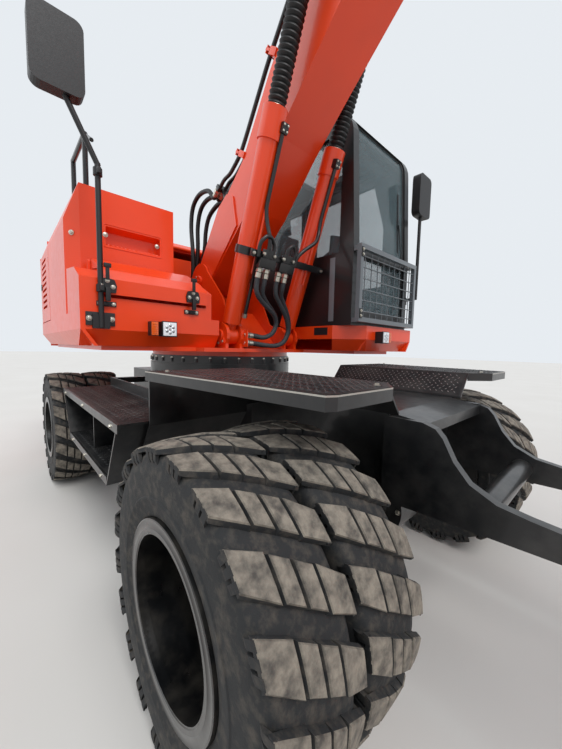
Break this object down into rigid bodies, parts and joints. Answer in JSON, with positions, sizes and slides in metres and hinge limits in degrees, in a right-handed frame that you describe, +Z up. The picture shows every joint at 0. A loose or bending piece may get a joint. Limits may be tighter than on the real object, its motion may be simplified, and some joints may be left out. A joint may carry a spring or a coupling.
{
  "type": "wheeled excavator",
  "caption": "Wheeled excavator with twin tyres, slewing upper frame, cab, one-piece boom, arm and bucket, all jointed.",
  "frame": {"origin": "on the ground, at the centre of the machine's overall length and width as parked", "axes": "+X forward, +Y to the left, +Z up"},
  "size_m": [8.3187, 2.84, 5.2336],
  "materials": {
    "paint": "gloss",
    "chassis_paint": "satin",
    "cab_paint": "satin",
    "tyre": "matte",
    "rim_paint": "satin",
    "glass": "polished",
    "fabric": "matte",
    "plastic": "matte",
    "lamp": "gloss",
    "rod": "polished",
    "rubber": "matte",
    "iron": "matte",
    "black_steel": "satin"
  },
  "bodies": {
    "undercarriage": {"chassis_frame": "chassis_paint", "slew_ring": "chassis_paint", "axles": "chassis_paint", "drive_line": "chassis_paint", "axle_rams": "chassis_paint", "front_fenders": "chassis_paint", "side_steps": "chassis_paint", "front_rest": "chassis_paint"},
    "knuckle_right": {"knuckle_right": "chassis_paint"},
    "knuckle_left": {"knuckle_left": "chassis_paint"},
    "wheel_front_right": {"tyres_front_right": "tyre", "rims_front_right": "rim_paint"},
    "wheel_front_left": {"tyres_front_left": "tyre", "rims_front_left": "rim_paint"},
    "wheel_rear_right": {"tyres_rear_right": "tyre", "rims_rear_right": "rim_paint"},
    "wheel_rear_left": {"tyres_rear_left": "tyre", "rims_rear_left": "rim_paint"},
    "upper": {"upper_frame": "paint", "counterweight": "paint", "engine_block": "iron", "engine_housing": "paint", "fuel_tank": "paint", "toolbox": "paint", "cab_shell": "cab_paint", "cab_glass": "glass", "seat": "fabric", "console": "plastic", "cab_guard": "cab_paint", "mirrors": "plastic", "grab_rails": "black_steel", "lamps": "lamp", "exhaust": "black_steel"},
    "hood": {"engine_hood": "paint"},
    "door_right": {"side_door_right": "paint"},
    "door_left": {"side_door_left": "paint"},
    "lid": {"toolbox_lid": "paint"},
    "cab_door": {"cab_door": "cab_paint", "door_glass": "glass"},
    "boom": {"boom": "paint"},
    "arm": {"arm": "paint"},
    "bucket": {"bucket": "paint"},
    "lift_barrels": {"boom_barrels": "paint"},
    "lift_rods": {"boom_rods": "rod", "rod_bellows": "rubber"},
    "stick_barrel": {"arm_barrel": "paint"},
    "stick_rod": {"arm_rod": "rod"},
    "crowd_barrel": {"bucket_barrel": "paint"},
    "crowd_rod": {"bucket_rod": "rod"},
    "rocker": {"rocker": "paint"},
    "link": {"bucket_link": "paint"}
  },
  "joints": [
    {"name": "slew", "type": "hinge", "parent": "undercarriage", "child": "upper", "pos_m": [-1.40959, 0, 1.33], "axis": [0, 0, 1], "continuous": true},
    {"name": "steer_left", "type": "hinge", "parent": "undercarriage", "child": "knuckle_left", "pos_m": [0.29041, 0.5, 0.526], "axis": [0, 0, 1], "range_deg": [-25, 25]},
    {"name": "steer_right", "type": "hinge", "parent": "undercarriage", "child": "knuckle_right", "pos_m": [0.29041, -0.5, 0.526], "axis": [0, 0, 1], "range_deg": [-25, 25]},
    {"name": "roll_front_left", "type": "hinge", "parent": "knuckle_left", "child": "wheel_front_left", "pos_m": [0.29041, 0.957, 0.526], "axis": [0, 1, 0], "continuous": true},
    {"name": "roll_front_right", "type": "hinge", "parent": "knuckle_right", "child": "wheel_front_right", "pos_m": [0.29041, -0.957, 0.526], "axis": [0, 1, 0], "continuous": true},
    {"name": "roll_rear_left", "type": "hinge", "parent": "undercarriage", "child": "wheel_rear_left", "pos_m": [-2.55959, 0.957, 0.526], "axis": [0, 1, 0], "continuous": true},
    {"name": "roll_rear_right", "type": "hinge", "parent": "undercarriage", "child": "wheel_rear_right", "pos_m": [-2.55959, -0.957, 0.526], "axis": [0, 1, 0], "continuous": true},
    {"name": "hood_open", "type": "hinge", "parent": "upper", "child": "hood", "pos_m": [-2.04359, 0, 2.35], "axis": [0, 1, 0], "range_deg": [0, 60]},
    {"name": "door_right_open", "type": "hinge", "parent": "upper", "child": "door_right", "pos_m": [-2.07659, -1.231, 1.9], "axis": [0, 0, 1], "range_deg": [0, 105]},
    {"name": "door_left_open", "type": "hinge", "parent": "upper", "child": "door_left", "pos_m": [-2.07659, 1.231, 1.9], "axis": [0, 0, -1], "range_deg": [0, 105]},
    {"name": "lid_open", "type": "hinge", "parent": "upper", "child": "lid", "pos_m": [-1.12759, -0.8, 1.85], "axis": [0, -1, 0], "range_deg": [0, 75]},
    {"name": "cab_door_open", "type": "hinge", "parent": "upper", "child": "cab_door", "pos_m": [-1.46959, 1.262, 2.3], "axis": [0, 0, 1], "range_deg": [0, 110]},
    {"name": "boom_lift", "type": "hinge", "parent": "upper", "child": "boom", "pos_m": [-1.45959, 0, 1.925], "axis": [0, -1, 0], "range_deg": [-62, 35]},
    {"name": "lift_barrels_swing", "type": "hinge", "parent": "upper", "child": "lift_barrels", "pos_m": [-0.85959, 0, 1.425], "axis": [0, -1, 0], "range_deg": [-62, 35]},
    {"name": "lift_rods_slide", "type": "slide", "parent": "lift_barrels", "child": "lift_rods", "axis": [0.3456, 0, 0.9384], "range_m": [-0.77, 0.44], "deforming": ["rod_bellows"]},
    {"name": "arm_swing", "type": "hinge", "parent": "boom", "child": "arm", "pos_m": [3.61915, 0, 4.51275], "axis": [0, -1, 0], "range_deg": [-17, 99]},
    {"name": "stick_barrel_swing", "type": "hinge", "parent": "boom", "child": "stick_barrel", "pos_m": [0.65275, 0, 4.38736], "axis": [0, -1, 0], "range_deg": [-1.1, 1.1]},
    {"name": "stick_rod_slide", "type": "slide", "parent": "stick_barrel", "child": "stick_rod", "axis": [0.9744, 0, 0.2247], "range_m": [-1.14, 0.21]},
    {"name": "bucket_curl", "type": "hinge", "parent": "arm", "child": "bucket", "pos_m": [3.20239, 0, 2.14921], "axis": [0, -1, 0], "range_deg": [-100, 60]},
    {"name": "rocker_swing", "type": "hinge", "parent": "arm", "child": "rocker", "pos_m": [3.31819, 0, 2.57558], "axis": [0, -1, 0], "range_deg": [-78, 47]},
    {"name": "link_swing", "type": "hinge", "parent": "rocker", "child": "link", "pos_m": [3.81755, 0, 2.55034], "axis": [0, -1, 0], "range_deg": [-38, 63]},
    {"name": "crowd_barrel_swing", "type": "hinge", "parent": "arm", "child": "crowd_barrel", "pos_m": [4.07159, 0, 4.37204], "axis": [0, -1, 0], "range_deg": [-3.1, 1.9]},
    {"name": "crowd_rod_slide", "type": "slide", "parent": "crowd_barrel", "child": "crowd_rod", "axis": [-0.1381, 0, -0.9904], "range_m": [-0.36, 0.6]}
  ],
  "couplings": [
    {"joint": "steer_right", "follows": "steer_left", "ratio": 1},
    {"joint": "lift_barrels_swing", "follows": "boom_lift", "ratio": 1},
    {"joint": "lift_rods_slide", "follows": "boom_lift", "m_per_rad": 0.7076},
    {"joint": "stick_barrel_swing", "follows": "arm_swing", "ratio": -0.01},
    {"joint": "stick_rod_slide", "follows": "arm_swing", "m_per_rad": -0.6532},
    {"joint": "rocker_swing", "follows": "bucket_curl", "ratio": 0.77},
    {"joint": "link_swing", "follows": "bucket_curl", "ratio": -0.62},
    {"joint": "crowd_barrel_swing", "follows": "bucket_curl", "ratio": 0.03},
    {"joint": "crowd_rod_slide", "follows": "bucket_curl", "m_per_rad": -0.33805}
  ]
}
